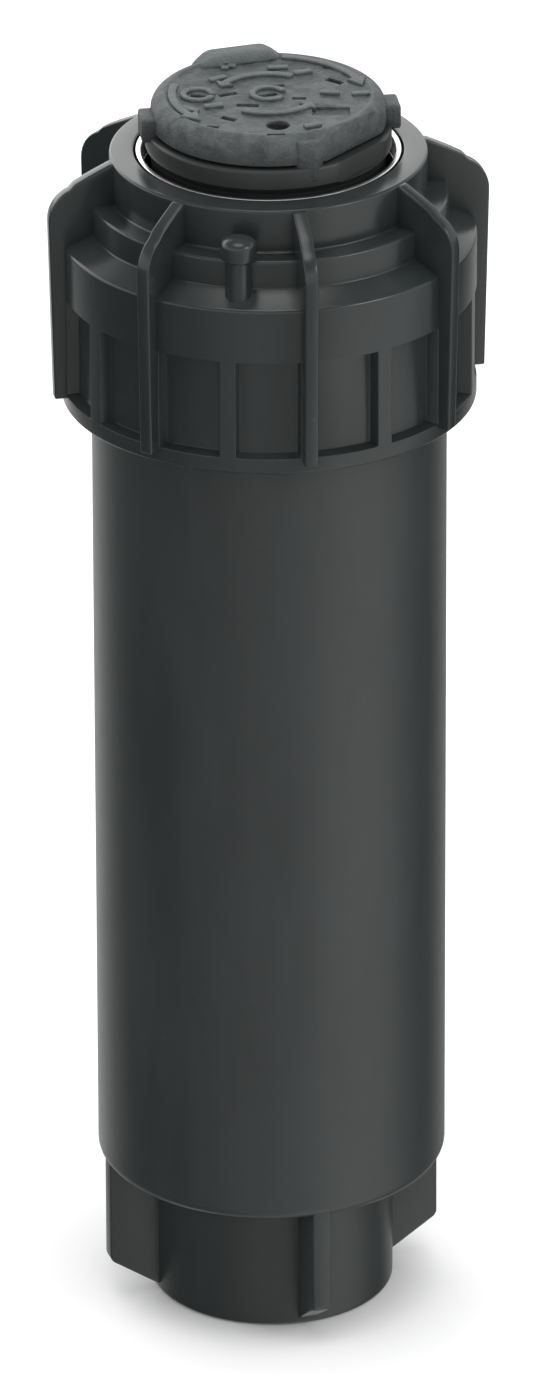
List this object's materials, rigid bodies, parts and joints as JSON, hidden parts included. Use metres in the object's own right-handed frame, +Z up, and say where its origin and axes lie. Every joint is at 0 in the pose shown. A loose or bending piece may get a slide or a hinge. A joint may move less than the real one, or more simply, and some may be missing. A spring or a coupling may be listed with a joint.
{
  "type": "pop-up sprinkler",
  "caption": "Gear-driven pop-up garden sprinkler with a ribbed screw cap, a sprung riser, a turning nozzle head and a threaded bottom inlet.",
  "frame": {"origin": "middle of the inlet boss's lower face, on the sprinkler's axis", "axes": "+Z up along the axis, from the inlet to the head; -Y is the front"},
  "size_m": [0.0636, 0.0636, 0.1912],
  "materials": {
    "case_plastic": "satin",
    "cap_plastic": "satin",
    "grey_rubber": "matte",
    "black_rubber": "matte",
    "bright_steel": "polished",
    "spring_steel": "satin",
    "white_acetal": "satin",
    "grey_plastic": "satin",
    "nozzle_plastic": "satin"
  },
  "bodies": {
    "case": {"body_case": "case_plastic", "body_cap": "cap_plastic", "trim_ring": "bright_steel", "seal_retainer": "grey_plastic", "wiper_seal": "black_rubber", "return_spring": "spring_steel"},
    "ratchet": {"ratchet_ring": "white_acetal"},
    "riser": {"riser_tube": "case_plastic", "check_seal": "black_rubber", "inlet_screen": "grey_plastic", "stator": "white_acetal", "gearbox_base": "grey_plastic", "gearbox_shell": "grey_plastic", "gearbox_lid": "grey_plastic", "gear_pin_1": "bright_steel", "gear_pin_2": "bright_steel", "gear_pin_3": "bright_steel", "thrust_washer": "white_acetal"},
    "turbine": {"turbine": "white_acetal"},
    "gear_1": {"reduction_gear_1": "white_acetal"},
    "gear_2": {"reduction_gear_2": "white_acetal"},
    "gear_3": {"reduction_gear_3": "white_acetal"},
    "trip": {"trip_rod": "bright_steel", "trip_lever": "white_acetal", "flow_shutter": "white_acetal"},
    "turret": {"turret_housing": "case_plastic", "drive_spindle": "grey_plastic", "output_gear": "white_acetal", "nozzle": "nozzle_plastic", "rubber_cover": "grey_rubber"},
    "arc_ring": {"arc_ring": "white_acetal"},
    "arc_shaft": {"arc_set_shaft": "white_acetal"},
    "radius_screw": {"radius_screw": "bright_steel"}
  },
  "joints": [
    {"name": "riser_lift", "type": "slide", "parent": "case", "child": "ratchet", "axis": [0, 0, 1], "range_m": [0, 0.1], "stiffness_N_per_m": 150, "springref_m": -0.03, "deforming": ["return_spring"]},
    {"name": "riser_turn", "type": "hinge", "parent": "ratchet", "child": "riser", "pos_m": [0, 0, 0.03], "axis": [0, 0, 1], "continuous": true},
    {"name": "turret_turn", "type": "hinge", "parent": "riser", "child": "turret", "pos_m": [0, 0, 0.155], "axis": [0, 0, 1], "continuous": true},
    {"name": "gear_3_spin", "type": "hinge", "parent": "riser", "child": "gear_3", "pos_m": [-0.0032, 0.00555, 0.09], "axis": [0, 0, 1], "continuous": true},
    {"name": "gear_2_spin", "type": "hinge", "parent": "riser", "child": "gear_2", "pos_m": [0.0032, 0.00555, 0.085], "axis": [0, 0, 1], "continuous": true},
    {"name": "gear_1_spin", "type": "hinge", "parent": "riser", "child": "gear_1", "pos_m": [0.00641, 0, 0.08], "axis": [0, 0, 1], "continuous": true},
    {"name": "turbine_spin", "type": "hinge", "parent": "riser", "child": "turbine", "pos_m": [0, 0, 0.06], "axis": [0, 0, 1], "continuous": true},
    {"name": "trip_toggle", "type": "hinge", "parent": "riser", "child": "trip", "pos_m": [-0.0123, 0.0071, 0.1], "axis": [0, 0, 1], "range_deg": [-12, 12]},
    {"name": "arc_ring_turn", "type": "hinge", "parent": "turret", "child": "arc_ring", "pos_m": [0, 0, 0.158], "axis": [0, 0, 1], "range_deg": [-160, 160]},
    {"name": "arc_set", "type": "hinge", "parent": "turret", "child": "arc_shaft", "pos_m": [0.00137, -0.01117, 0.17], "axis": [0, 0, 1], "range_deg": [-450, 450]},
    {"name": "radius_adjust", "type": "hinge", "parent": "turret", "child": "radius_screw", "pos_m": [0.00946, -0.00739, 0.18], "axis": [0, 0, 1], "continuous": true}
  ],
  "couplings": [
    {"joint": "gear_3_spin", "follows": "turret_turn", "ratio": -2.3333},
    {"joint": "gear_2_spin", "follows": "turret_turn", "ratio": 5.4444},
    {"joint": "gear_1_spin", "follows": "turret_turn", "ratio": -12.704},
    {"joint": "turbine_spin", "follows": "turret_turn", "ratio": 29.642},
    {"joint": "arc_set", "follows": "arc_ring_turn", "ratio": -2.75}
  ]
}
